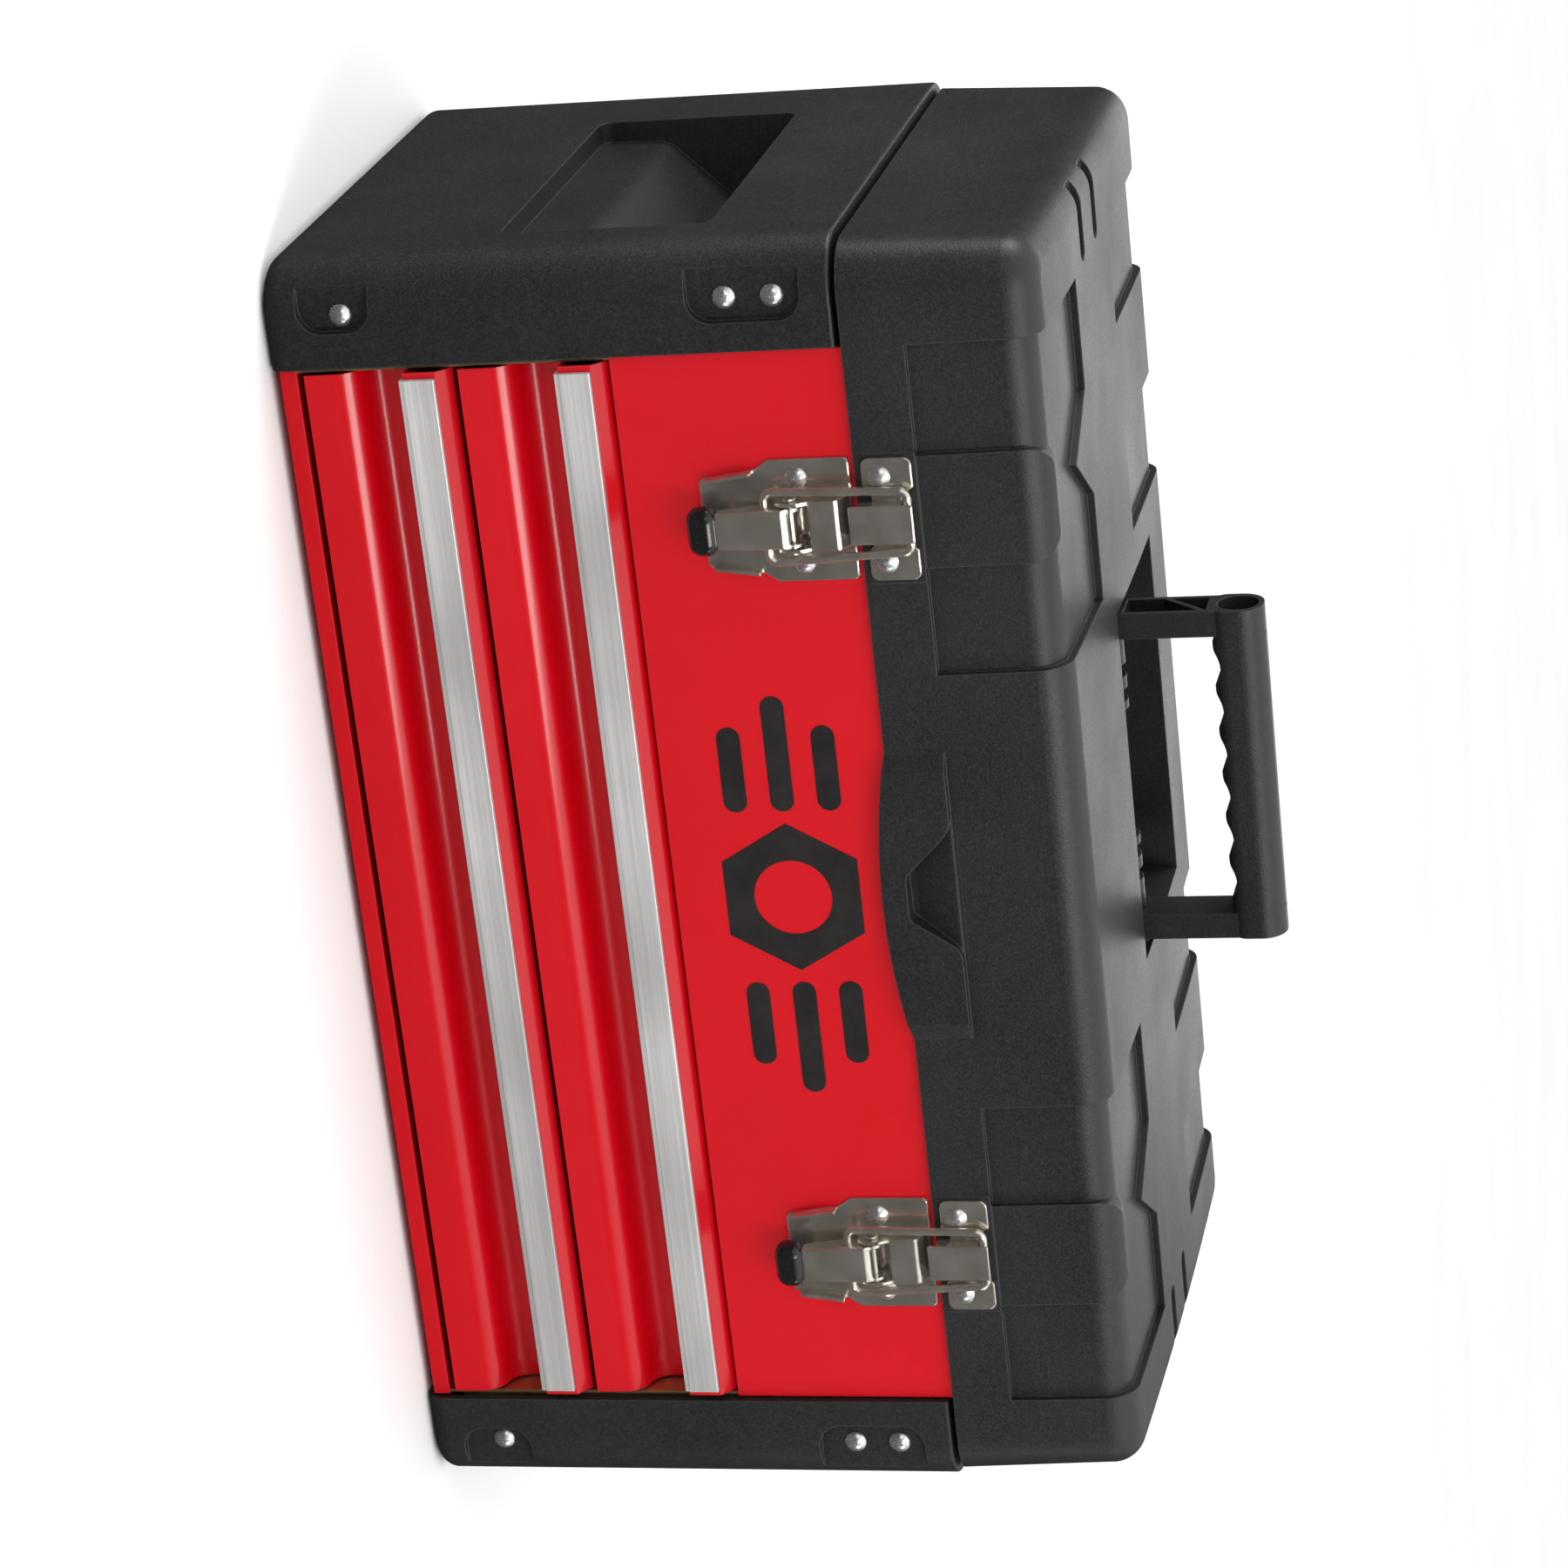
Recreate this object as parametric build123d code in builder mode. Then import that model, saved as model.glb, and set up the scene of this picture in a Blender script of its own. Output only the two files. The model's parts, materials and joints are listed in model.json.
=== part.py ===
from build123d import *

import os
from math import asin, degrees

# Toolbox with a lift-out tray and two drawers. Millimetres, +Z up. The origin is on the floor
# under the middle of the case, +X runs to the right along the case and the front faces -Y.

# ---- driving dimensions ----------------------------------------------------------------
case_width = 508.0
case_depth = 244.4
cap_thick = 39.4
cap_height = 213.0
cap_corner = 20.0
plastic = 3.0
sheet = 1.2

panel_half = 213.8
panel_face = 119.2
base_low = 3.3
rail_top = 9.8
side_inner = 212.6
panel_low = 128.6
panel_top = 216.8

lid_low = 215.2
lid_half = 251.0
lid_face = 122.0
lid_corner = 18.0
lid_crown = 289.0
front_drop = 2.5
back_drop = 0.8
lid_taper = 2.5
lid_round = 13.0
lid_wall = 2.6
skirt_wall = 2.4
skirt_top = 238.0
recess_step = 2.6
deck_step = 3.0

column_x = 151.0
column_half = 21.5
centre_half = 88.0
end_block_x = 214.0
deck_front = -45.0
deck_back = 33.0
prow_y = -74.0

handle_z = 277.0
handle_top = 343.0
handle_half = 68.7
handle_leg = 10.5
handle_depth = 18.0
bar_depth = 20.4
grip_bottom = 322.3
finger_pitch = 18.0
finger_depth = 3.0
well_half = 72.6
well_front = -20.0
well_back = 72.0
well_floor = 266.5
lug_radius = 10.0

lift_half = 58.0
lift_proud = 3.0
lift_dip = 6.0
pocket_floor = -117.6
pocket_low = 218.6
lift_line = ((-58, 238.2), (-27.5, 237.4), (-9.5, 219.0), (8.0, 219.0), (20.5, 237.6), (58, 238.2))
lift_corners = (((-27.5, 237.4), 13), ((-9.5, 219.0), 5), ((8.0, 219.0), 4), ((20.5, 237.6), 8))

drawer_low = (12.6, 71.4)
drawer_half = 212.0
drawer_height = 56.2
drawer_face = 120.0
drawer_back = 95.0
box_half = 203.0
box_front = 105.3

latch_x = 149.6
latch_half = 23.3
rivet_gap = 16.1
lever_pivot = (-126.0, 191.0)
bail_pivot = (-127.5, 182.0)

hinge_x = 140.0
hinge_axis = (125.8, 214.4)
hinge_half = 31.0
barrel_radius = 3.0
pin_radius = 1.5
wire_radius = 1.6

tray_low = 172.0
tray_top = 210.0
tray_half = 203.0
tray_depth = 109.0
tray_wall = 2.4

running = 0.08

half_width = case_width / 2
half_depth = case_depth / 2
cap_inner = half_width - cap_thick
low_corner = (Align.MIN, Align.MIN, Align.MIN)
upright = (Align.CENTER, Align.CENTER, Align.MIN)

os.makedirs("parts", exist_ok=True)


# ---- helpers ---------------------------------------------------------------------------
def block(x, y, z, mode=Mode.ADD):
    """Box between the low and high limits given for each axis."""
    with Locations((x[0], y[0], z[0])):
        Box(x[1] - x[0], y[1] - y[0], z[1] - z[0], align=low_corner, mode=mode)


def rod(start, length, radius, axis, mode=Mode.ADD):
    """Cylinder that starts at a point and runs along +X or along +Y."""
    turn = (0, 90, 0) if axis == "X" else (-90, 0, 0)
    with Locations(Location(start, turn)):
        Cylinder(radius, length, align=upright, mode=mode)


def keep(piece, name):
    """Label a finished piece and write it to its own file."""
    piece.part.label = name
    export_step(piece.part, f"parts/{name}.step")


def rivets(name, places, head_radius, dome, shank_radius, grip):
    """Domed rivets: each place is the point under the head, with facing -1 for a head that
    looks towards -Y. The shank crosses the grip and ends in a flat tail."""
    head_rim = 0.4
    tail = 1.2
    rise = dome - head_rim
    ball = (rise**2 + head_radius**2) / (2 * rise)
    with BuildPart() as group:
        for x, y, z, facing in places:
            with Locations(Location((x, y, z), (-90 * facing, 0, 0))):
                Cylinder(head_radius, head_rim, align=upright)
                with Locations((0, 0, head_rim)):
                    Sphere(ball, arc_size1=degrees(asin((ball - rise) / ball)), align=upright)
                with Locations((0, 0, -grip)):
                    Cylinder(shank_radius, grip + head_rim / 2, align=upright)
                with Locations((0, 0, -grip - tail)):
                    Cylinder(shank_radius * 1.5, tail, align=upright)
    keep(group, name)


# ---- sheet steel body ------------------------------------------------------------------
inner_y = panel_face - sheet

with BuildPart() as base_panel:
    block((-panel_half, panel_half), (-panel_face, inner_y), (base_low, base_low + sheet))
    block((-panel_half, panel_half), (-panel_face, -inner_y), (base_low, rail_top))
    block((-side_inner, side_inner), (-inner_y, -inner_y + 6), (rail_top - sheet, rail_top))
keep(base_panel, "base_panel")

with BuildPart() as front_panel:
    block((-panel_half, panel_half), (-panel_face, -inner_y), (panel_low, panel_top))
    block((-side_inner, side_inner), (-inner_y, -inner_y + 12), (panel_low, panel_low + sheet))
    block((-side_inner, side_inner), (-inner_y, -inner_y + 2.5), (panel_top - sheet, panel_top))
    for side in (-1, 1):
        for shift in (-rivet_gap, rivet_gap):
            start = (side * latch_x + shift, -panel_face - 1, 193.0)
            rod(start, 4, 2.0, "Y", Mode.SUBTRACT)
keep(front_panel, "front_panel")

with BuildPart() as back_panel:
    block((-panel_half, panel_half), (inner_y, panel_face), (base_low, panel_top))
    block((-side_inner, side_inner), (inner_y - 2.5, inner_y), (panel_top - sheet, panel_top))
    for side in (-1, 1):
        for shift in (-20, 0, 20):
            rod((side * hinge_x + shift, inner_y - 1, 199.0), 4, 1.6, "Y", Mode.SUBTRACT)
keep(back_panel, "back_panel")

with BuildPart() as compartment_floor:
    block((-side_inner, side_inner), (-inner_y, inner_y), (panel_low + 2, panel_low + 2 + sheet))
    for x in (-140, 0, 140):
        block((x - 4, x + 4), (-90, 90), (panel_low + 2 + sheet, panel_low + 4))
keep(compartment_floor, "compartment_floor")

with BuildPart() as drawer_divider:
    block((-side_inner, side_inner), (-110, inner_y), (69.6, 70.6))
keep(drawer_divider, "drawer_divider")

# The rivets that hold a cap pass through its pads into the flanges of the side frame.
pad_depth = 3.5
pad_face = half_depth - pad_depth
flange_face = pad_face - plastic - 0.1
cap_rivet_x = 234.2
cap_rivet_z = (191.4, 173.7, 29.7)

with BuildPart() as side_frame_right:
    block((side_inner, panel_half), (-inner_y, inner_y), (base_low + sheet, 213))
    for facing in (-1, 1):
        y = sorted((facing * flange_face, facing * (flange_face - sheet)))
        block((panel_half, 243), y, (14, 207))
        for z in cap_rivet_z:
            rod((cap_rivet_x, y[0] - 1, z), 4, 2.25, "Y", Mode.SUBTRACT)
keep(side_frame_right, "side_frame_right")

with BuildPart() as side_frame_left:
    mirror(side_frame_right.part, about=Plane.YZ)
keep(side_frame_left, "side_frame_left")

with BuildPart() as tray_ledges:
    for side in (-1, 1):
        block(sorted((side * 206.5, side * side_inner)), (-100, 100), (206.4, 207.6))
        block(sorted((side * 211.4, side * side_inner)), (-100, 100), (194, 206.4))
keep(tray_ledges, "tray_ledges")


# ---- moulded end caps ------------------------------------------------------------------
grip_front = -90.0
grip_back = 68.0
grip_low = 85.0
grip_high = 164.5
pad_spans = ((160.0, 202.0, 225.5), (13.8, 41.3, 228.0))


def grip_pocket(grow):
    """The hand recess of the right cap, grown outwards by the wall when it is the shell."""
    face = half_width + 1
    with BuildPart() as pocket:
        with BuildSketch(Plane.XZ.offset(-grip_back - grow)) as profile:
            with BuildLine():
                Polyline(
                    (face, grip_low - grow),
                    (half_width - 8 - grow, grip_low - grow),
                    (half_width - 9 - grow, 112),
                    (half_width - 33 - grow, 136),
                    (half_width - 33 - grow, 172 + grow),
                    (half_width - 4 + grow, 172 + grow),
                    (half_width - 4 + grow, grip_high + grow),
                    (face, grip_high + grow),
                    close=True,
                )
            make_face()
            bends = profile.vertices().filter_by_position(Axis.Y, 111, 137)
            fillet(bends, 9)
        extrude(amount=grip_back - grip_front + 2 * grow)
        fillet(pocket.edges().filter_by(Axis.X), 5)
    return pocket.part


with BuildPart() as cap_cavity:
    with BuildSketch(Plane.XY.offset(plastic)):
        with Locations((half_width - plastic - cap_thick / 2, 0)):
            Rectangle(cap_thick, case_depth - 2 * plastic)
    extrude(amount=cap_height - 2 * plastic)
    outer_edges = cap_cavity.edges().filter_by(Axis.Z).filter_by_position(Axis.X, 240, 260)
    fillet(outer_edges, cap_corner - plastic)
    for low, high, inner in pad_spans:
        for facing in (-1, 1):
            y = sorted((facing * half_depth, facing * (pad_face - plastic)))
            block((inner - plastic, half_width), y, (low - plastic, high + plastic), Mode.SUBTRACT)
    add(grip_pocket(plastic), mode=Mode.SUBTRACT)

with BuildPart() as end_cap_right:
    with BuildSketch(Plane.XY):
        with Locations((half_width - cap_thick / 2, 0)):
            Rectangle(cap_thick, case_depth)
    extrude(amount=cap_height)
    outer_edges = end_cap_right.edges().filter_by(Axis.Z).filter_by_position(Axis.X, 240, 260)
    fillet(outer_edges, cap_corner)
    low_edges = end_cap_right.edges().group_by(Axis.Z)[0]
    rim_edges = end_cap_right.edges().group_by(Axis.Z)[-1]
    fillet(low_edges.filter_by_position(Axis.X, cap_inner + 1, 260), 7)
    fillet(rim_edges.filter_by_position(Axis.X, cap_inner + 1, 260), 1.2)
    add(cap_cavity.part, mode=Mode.SUBTRACT)
    add(grip_pocket(0), mode=Mode.SUBTRACT)
    for low, high, inner in pad_spans:
        for facing in (-1, 1):
            with BuildSketch(Plane.XZ.offset(-facing * pad_face)):
                with Locations(((inner + 275) / 2, (low + high) / 2)):
                    RectangleRounded(275 - inner, high - low, 9)
            extrude(amount=-facing * 8, mode=Mode.SUBTRACT)
    for z in cap_rivet_z:
        rod((cap_rivet_x, -half_depth, z), case_depth, 2.25, "Y", Mode.SUBTRACT)
keep(end_cap_right, "end_cap_right")

with BuildPart() as end_cap_left:
    mirror(end_cap_right.part, about=Plane.YZ)
keep(end_cap_left, "end_cap_left")

cap_places = [
    (side * cap_rivet_x, facing * pad_face, z, facing)
    for side in (-1, 1)
    for facing in (-1, 1)
    for z in cap_rivet_z
]
rivets("cap_rivets", cap_places, 4.3, 2.6, 2.2, plastic + 0.1 + sheet)


# ---- ball-bearing drawer slides --------------------------------------------------------
rail_height = 27.0
rail_front = -104.8
rail_back = 96.0
cage_front = -29.0
cage_back = 19.0


def slide_rail(name, side, low):
    """Fixed channel of a slide, on the inner face of the side frame."""
    with BuildPart() as rail:
        y = (rail_front, rail_back)
        block(sorted((side * (side_inner - sheet), side * side_inner)), y, (low, low + rail_height))
        for z in (low, low + rail_height - sheet):
            block(sorted((side * 205.0, side * side_inner)), y, (z, z + sheet))
    keep(rail, name)


def slide_runner(name, low):
    """The two moving channels of one drawer's slides, fixed to the box sides."""
    with BuildPart() as runner:
        y = (rail_front, rail_back - 1)
        for side in (-1, 1):
            block(
                sorted((side * box_half, side * (box_half + sheet))),
                y,
                (low + 3.8, low + rail_height - 3.8),
            )
            for z in (low + 3.8, low + rail_height - 3.8 - sheet):
                block(sorted((side * box_half, side * 209.3)), y, (z, z + sheet))
    keep(runner, name)


def ball_cage(name, low):
    """Ball retainers of one drawer's slides, with the balls they hold between the channels."""
    with BuildPart() as cage:
        for side in (-1, 1):
            strip = sorted((side * 209.9, side * 210.7))
            block(strip, (cage_front, cage_back), (low + 2.1, low + rail_height - 2.1))
            for z in (low + 2.5, low + rail_height - 2.5):
                block(
                    sorted((side * 206.2, side * 210.7)),
                    (cage_front, cage_back),
                    (z - 0.4, z + 0.4),
                )
                for step in range(4):
                    with Locations((side * 207.6, cage_front + 6 + 12 * step, z)):
                        Sphere(1.22)
    keep(cage, name)


# ---- drawers ---------------------------------------------------------------------------
def drawer_front(name, low):
    """Pressed steel front: an upright foot, an S-bend back to the finger channel and a lip."""
    channel_y = -106.5
    bend_low = low + 11.5
    bend_high = low + 29.0
    lip_low = low + 38.4
    lip_face = -122.2
    with BuildPart() as front:
        with BuildSketch(Plane.YZ.offset(-drawer_half)):
            with BuildLine() as path:
                foot = Line((-drawer_face, low), (-drawer_face, bend_low))
                middle = ((channel_y - drawer_face) / 2, (bend_low + bend_high) / 2)
                rise = TangentArc(foot @ 1, middle, tangent=(0, 1))
                ease = TangentArc(rise @ 1, (channel_y, bend_high), tangent=rise % 1)
                channel = Line(ease @ 1, (channel_y, lip_low))
                under = Line(channel @ 1, (lip_face, lip_low))
                lip = Line(under @ 1, (lip_face, low + 51.0))
                nose = Line(lip @ 1, (-116.5, low + drawer_height))
                Line(nose @ 1, (-111.0, low + drawer_height))
                offset(amount=sheet, side=Side.RIGHT, kind=Kind.INTERSECTION)
            make_face()
        extrude(amount=2 * drawer_half)
    keep(front, name)


def drawer_pull(name, low):
    """Aluminium pull strip over the lip, with a return under it for the fingers."""
    strip_low = low + 38.9
    strip_high = low + 50.6
    with BuildPart() as pull:
        block((-209.6, 209.6), (-124.2, -122.2), (strip_low, strip_high))
        fillet(pull.edges().filter_by(Axis.X).filter_by_position(Axis.Y, -125, -124), 0.5)
        block((-209.6, 209.6), (-123.6, -118.0), (low + 37.2, low + 38.4))
        block((-209.6, 209.6), (-123.6, -122.2), (low + 37.2, strip_low))
    keep(pull, name)


def drawer_box(name, low):
    """Folded box of a drawer, open at the top, with a rolled top edge."""
    floor = low + 1.9
    rim = low + 46.0
    with BuildPart() as box:
        block((-box_half, box_half), (-box_front, drawer_back), (floor, rim))
        block(
            (-box_half + sheet, box_half - sheet),
            (-box_front + sheet, drawer_back - sheet),
            (floor + sheet, rim + 1),
            Mode.SUBTRACT,
        )
        for side in (-1, 1):
            y = (-box_front + sheet, drawer_back - sheet)
            block(
                sorted((side * (box_half - sheet), side * (box_half - 3))),
                y,
                (rim - 3.0, rim),
            )
    keep(box, name)


def drawer_liner(name, low):
    """Foam mat that lies in the drawer."""
    with BuildPart() as liner:
        block(
            (-box_half + sheet + 0.5, box_half - sheet - 0.5),
            (-box_front + sheet + 0.5, drawer_back - sheet - 0.5),
            (low + 1.9 + sheet, low + 1.9 + sheet + 2.5),
        )
    keep(liner, name)


for level, low in zip(("lower", "upper"), drawer_low):
    slide_low = low + 12.6
    slide_rail(f"slide_rail_{level}_left", -1, slide_low)
    slide_rail(f"slide_rail_{level}_right", 1, slide_low)
    slide_runner(f"slide_runners_{level}", slide_low)
    ball_cage(f"ball_cages_{level}", slide_low)
    drawer_front(f"drawer_front_{level}", low)
    drawer_pull(f"drawer_pull_{level}", low)
    drawer_box(f"drawer_box_{level}", low)
    drawer_liner(f"drawer_liner_{level}", low)


# ---- lid -------------------------------------------------------------------------------
def lid_form(inset, drop, round_radius, low=lid_low):
    """Tapered, crowned block of the lid, drawn in from its full size by the inset and drop."""
    with BuildPart() as form:
        with BuildSketch(Plane.XY.offset(low)):
            RectangleRounded(
                2 * (lid_half - inset), 2 * (lid_face - inset), max(lid_corner - inset, 4)
            )
        extrude(amount=lid_crown + 2 - low, taper=lid_taper)
        with BuildSketch(Plane.YZ.offset(-half_width)):
            with BuildLine():
                crown = lid_crown - drop
                front_edge = (-lid_face, crown - front_drop)
                back_edge = (lid_face, crown - back_drop)
                ThreePointArc(front_edge, (0, crown), back_edge)
                Polyline(back_edge, (lid_face, low - 1), (-lid_face, low - 1), front_edge)
            make_face()
        extrude(amount=case_width, mode=Mode.INTERSECT)
        top_face = form.faces().sort_by(Axis.Z)[-1]
        fillet(top_face.edges(), round_radius)
    return form.part


everywhere_y = (-130, 130)
everywhere_z = (lid_low - 1, lid_crown + 5)

with BuildPart() as raised_zones:
    block((-half_width, half_width), everywhere_y, (lid_low - 1, skirt_top))
    block((-centre_half, centre_half), everywhere_y, everywhere_z)
    block((-half_width, half_width), (deck_front, deck_back), (skirt_top, lid_crown + 5))
    for side in (-1, 1):
        block(sorted((side * end_block_x, side * half_width)), everywhere_y, everywhere_z)
        column_span = sorted((side * (column_x - column_half), side * (column_x + column_half)))
        block(column_span, (deck_back, 130), everywhere_z)
        with BuildSketch(Plane.XY.offset(skirt_top)):
            with BuildLine():
                Polyline(
                    (column_span[0], deck_front + 1),
                    (side * column_x, prow_y),
                    (column_span[1], deck_front + 1),
                    close=True,
                )
            make_face()
        extrude(amount=lid_crown + 5 - skirt_top)
        with BuildSketch(Plane.XZ.offset(106)) as arch:
            with Locations((side * column_x, (lid_low + 286.4) / 2)):
                Rectangle(2 * column_half, 286.4 - lid_low)
            fillet(arch.vertices().group_by(Axis.Y)[-1], 9)
        extrude(amount=25)

def above_lift(front, back):
    """Everything above the lift's S-shaped upper line, between two planes across Y."""
    with BuildPart() as region:
        with BuildSketch(Plane.XZ.offset(-back)) as outline:
            with BuildLine():
                above = ((lift_half, skirt_top + 9), (-lift_half, skirt_top + 9))
                Polyline(*lift_line, *above, close=True)
            make_face()
            for corner, radius in lift_corners:
                fillet(outline.vertices().sort_by_distance((*corner, 0))[0], radius)
        extrude(amount=back - front)
    return region.part


with BuildPart() as thumb_lift:
    with BuildSketch(Plane.XY.offset(lid_low - lift_dip)):
        with BuildLine():
            Polyline(
                (-lift_half, -lid_face), (-lift_half + 7, -lid_face - lift_proud),
                (lift_half - 7, -lid_face - lift_proud), (lift_half, -lid_face),
                (lift_half, 2 - lid_face), (-lift_half, 2 - lid_face), close=True,
            )
        make_face()
    extrude(amount=skirt_top - 0.4 - lid_low + lift_dip)
    with BuildSketch(Plane.XZ.offset(lid_face - 3)):
        with BuildLine():
            Polyline(
                (-lift_half, lid_low), (-lift_half, skirt_top), (lift_half, skirt_top),
                (lift_half, lid_low),
            )
            ThreePointArc((lift_half, lid_low), (0, lid_low - lift_dip), (-lift_half, lid_low))
        make_face()
    extrude(amount=8, mode=Mode.INTERSECT)
    add(above_lift(-lid_face - 6, -lid_face), mode=Mode.SUBTRACT)

with BuildPart() as thumb_pocket:
    add(above_lift(-lid_face - 6, pocket_floor))
    with BuildSketch(Plane.YZ.offset(-lift_half)):
        with BuildLine():
            Polyline(
                (-lid_face - 4, skirt_top + 3), (-lid_face, skirt_top - 1.4),
                (pocket_floor, pocket_low + 3), (pocket_floor, pocket_low - 1),
                (-lid_face - 4, pocket_low - 1), close=True,
            )
        make_face()
    extrude(amount=2 * lift_half, mode=Mode.INTERSECT)

with BuildPart() as lid_shell:
    add(lid_form(0, 0, lid_round))
    add(raised_zones.part, mode=Mode.INTERSECT)
    add(lid_form(recess_step, deck_step, lid_round - 1.5))
    # Flat pads carry the latch strikes at the front and the hinge leaves at the back.
    for side in (-1, 1):
        strike_span = (side * latch_x - 25, side * latch_x + 25)
        leaf_span = (side * hinge_x - hinge_half - 2, side * hinge_x + hinge_half + 2)
        block(strike_span, (-lid_face, -lid_face + 2), (lid_low, skirt_top))
        block(leaf_span, (lid_face - 2, lid_face), (lid_low, skirt_top))
    # The thumb lift stands proud of the skirt, dips below the split line and fades at its ends.
    add(thumb_lift.part)
    # Hollow inside: a high cavity, and a wider one at the skirt that covers the steel rim.
    add(lid_form(recess_step + lid_wall, deck_step + lid_wall, 8), mode=Mode.SUBTRACT)
    with BuildSketch(Plane.XY.offset(lid_low - 1)):
        RectangleRounded(
            2 * (lid_half - lid_wall), 2 * (lid_face - skirt_wall), lid_corner - lid_wall
        )
    extrude(amount=skirt_top - lid_wall - lid_low + 1, mode=Mode.SUBTRACT)
    block(
        (-well_half - lid_wall, well_half + lid_wall),
        (well_front - lid_wall, well_back + lid_wall),
        (well_floor - lid_wall, lid_crown - deck_step - 1),
    )
    # Well that the folded handle drops into, with a lug inside each leg.
    block((-well_half, well_half), (well_front, well_back), (well_floor, 300), Mode.SUBTRACT)
    for side in (-1, 1):
        leg_inner = handle_half - handle_leg
        lug = sorted((side * 27, side * (leg_inner - 0.7)))
        block(lug, (-lug_radius, lug_radius), (well_floor, handle_z))
        rod((lug[0], 0, handle_z), lug[1] - lug[0], lug_radius, "X")
        wall_boss = sorted((side * (handle_half + 0.7), side * well_half))
        block(wall_boss, (-lug_radius, lug_radius), (well_floor, handle_z))
        rod((wall_boss[0], 0, handle_z), wall_boss[1] - wall_boss[0], lug_radius, "X")
        for slot_x in (33, 43):
            slot = (side * slot_x - 2.5, side * slot_x + 2.5)
            block(slot, (-12, 12), (handle_z + 2, 291), Mode.SUBTRACT)
        pin_span = sorted((side * 48, side * well_half))
        rod((pin_span[0], 0, handle_z), pin_span[1] - pin_span[0], 3.0, "X", Mode.SUBTRACT)
        # Two short stacking grooves cross each end's top edge.
        for y in (-26, 4):
            with BuildSketch(Plane.XY.offset(284.6)):
                with Locations((side * 237, y)):
                    RectangleRounded(44, 9, 4.4)
            extrude(amount=10, mode=Mode.SUBTRACT)
        for shift in (-rivet_gap, rivet_gap):
            start = (side * latch_x + shift, -lid_face - 1, 224.3)
            rod(start, 5, 2.0, "Y", Mode.SUBTRACT)
        for shift in (-20, 0, 20):
            rod((side * hinge_x + shift, lid_face - 4, 227.0), 5, 1.6, "Y", Mode.SUBTRACT)
    # A thumb pocket above the lift, with a pad behind it that keeps the wall whole.
    block((-34, 30), (-lid_face + 1, pocket_floor + lid_wall), (pocket_low - 1.5, skirt_top + 1))
    add(thumb_pocket.part, mode=Mode.SUBTRACT)
keep(lid_shell, "lid_shell")


# ---- carrying handle -------------------------------------------------------------------
with BuildPart() as handle:
    # Bar: a side view with finger grooves, rounded off to a soft oblong section.
    hump_z = grip_bottom + finger_depth / 3
    with BuildSketch(Plane.XZ.offset(-bar_depth / 2)):
        with BuildLine():
            for step in range(13):
                x = (step / 2 - 3) * finger_pitch
                half, peak = (6, finger_depth) if step % 2 else (3, 0)
                ThreePointArc((x - half, hump_z), (x, grip_bottom + peak), (x + half, hump_z))
            last_hump = 3 * finger_pitch + 3
            Polyline(
                (last_hump, hump_z), (handle_half, hump_z), (handle_half, handle_top),
                (-handle_half, handle_top), (-handle_half, hump_z), (-last_hump, hump_z),
            )
        make_face()
    extrude(amount=bar_depth)
    with BuildSketch(Plane.YZ.offset(-handle_half)) as bar_section:
        with Locations((0, (grip_bottom + handle_top) / 2)):
            Rectangle(bar_depth, handle_top - grip_bottom)
        fillet(bar_section.vertices().group_by(Axis.Y)[-1], 9.5)
        fillet(bar_section.vertices().group_by(Axis.Y)[0], 6)
    extrude(amount=2 * handle_half, mode=Mode.INTERSECT)
    for side in (-1, 1):
        leg = sorted((side * (handle_half - handle_leg), side * handle_half))
        block(leg, (-handle_depth / 2, handle_depth / 2), (handle_z, grip_bottom + 8))
        rod((leg[0], 0, handle_z), handle_leg, handle_depth / 2, "X")
    for side in (-1, 1):
        # Outer faces are cored out, leaving a rim, a cross rib and a slanting rib.
        pocket = sorted((side * (handle_half - 6), side * (handle_half + 1)))
        with BuildSketch(Plane.YZ.offset(pocket[0])) as core:
            with Locations((0, 332.8)):
                RectangleRounded(15, 16, 7)
            with BuildLine():
                Polyline((-7, 321), (7, 321), (7, 306), close=True)
            make_face()
            with BuildLine():
                Polyline((-7, 318), (-7, 289), (7, 289), (7, 303), close=True)
            make_face()
        extrude(amount=7, mode=Mode.SUBTRACT)
        with Locations((side * 57.3, 0, handle_top)):
            Box(0.6, 30, 0.8, mode=Mode.SUBTRACT)
        rod((side * handle_half - 12, 0, handle_z), 24, 3.0 + running, "X", Mode.SUBTRACT)
keep(handle, "handle")

with BuildPart() as handle_pins:
    for side in (-1, 1):
        span = sorted((side * 48.2, side * (well_half - 0.1)))
        rod((span[0], 0, handle_z), span[1] - span[0], 3.0, "X")
keep(handle_pins, "handle_pins")


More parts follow.
